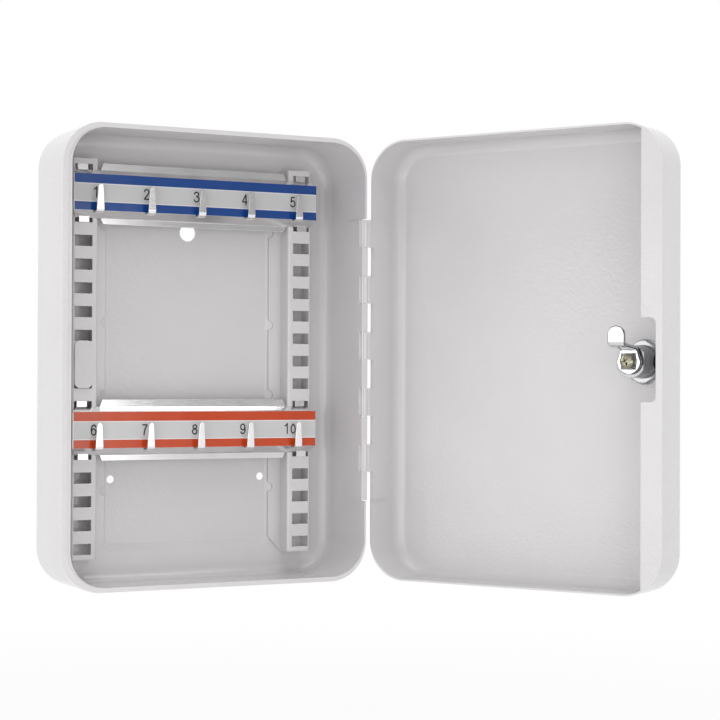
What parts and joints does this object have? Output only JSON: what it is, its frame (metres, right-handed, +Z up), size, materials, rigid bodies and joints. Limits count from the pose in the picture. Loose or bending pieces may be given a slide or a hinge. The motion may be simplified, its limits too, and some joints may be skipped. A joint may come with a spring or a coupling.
{
  "type": "wall key cabinet",
  "caption": "Wall-mounted sheet-steel key cabinet with a hinged lockable door, hanging rails with numbered key hooks and slotted uprights.",
  "frame": {"origin": "middle of the raised rear face that rests on the wall", "axes": "+X towards the hinge side, +Y into the wall, +Z up; the open front faces -Y"},
  "size_m": [0.2982, 0.2007, 0.25],
  "materials": {
    "cabinet_paint": "light grey powder coat, fine orange peel",
    "hinge_steel": "drawn steel wire",
    "rail_zinc": "bright zinc plated",
    "upper_strip": "glossy printed strip, blue edges and a grey band",
    "lower_strip": "glossy printed strip, orange edges and a grey band",
    "lock_chrome": "bright chrome plated",
    "lock_brass": "machined",
    "screw_brass": "yellow passivated"
  },
  "bodies": {
    "cabinet": {"cabinet_shell": "cabinet_paint", "lock_keeper": "cabinet_paint", "left_slotted_support": "cabinet_paint", "right_slotted_support": "cabinet_paint", "blanking_plate": "cabinet_paint", "cabinet_hinge_leaf": "cabinet_paint", "hinge_pin": "hinge_steel"},
    "upper_rail": {"upper_hook_rail": "rail_zinc", "upper_number_strip": "upper_strip"},
    "lower_rail": {"lower_hook_rail": "rail_zinc", "lower_number_strip": "lower_strip"},
    "door": {"door_shell": "cabinet_paint", "door_lock_lip": "cabinet_paint", "door_hinge_leaf": "cabinet_paint", "lock_housing": "lock_chrome", "lock_washer": "lock_chrome", "lock_nut": "lock_chrome"},
    "plug": {"lock_plug": "lock_brass", "lock_wafers": "lock_brass", "turn_stop": "lock_chrome", "lock_cam": "lock_chrome", "cam_washer": "lock_chrome", "cam_screw": "screw_brass"}
  },
  "joints": [
    {"name": "door_hinge", "type": "hinge", "parent": "cabinet", "child": "door", "pos_m": [0.091, -0.04616, 0], "axis": [0, 0, 1], "range_deg": [-120, 60]},
    {"name": "cam_turn", "type": "hinge", "parent": "door", "child": "plug", "pos_m": [0.18648, -0.17486, -0.0012], "axis": [0.866, 0.5, 0], "range_deg": [0, 90]},
    {"name": "upper_rail_lift", "type": "slide", "parent": "cabinet", "child": "upper_rail", "axis": [0, 0, 1], "range_m": [0, 0.003]},
    {"name": "lower_rail_lift", "type": "slide", "parent": "cabinet", "child": "lower_rail", "axis": [0, 0, 1], "range_m": [0, 0.003]}
  ]
}
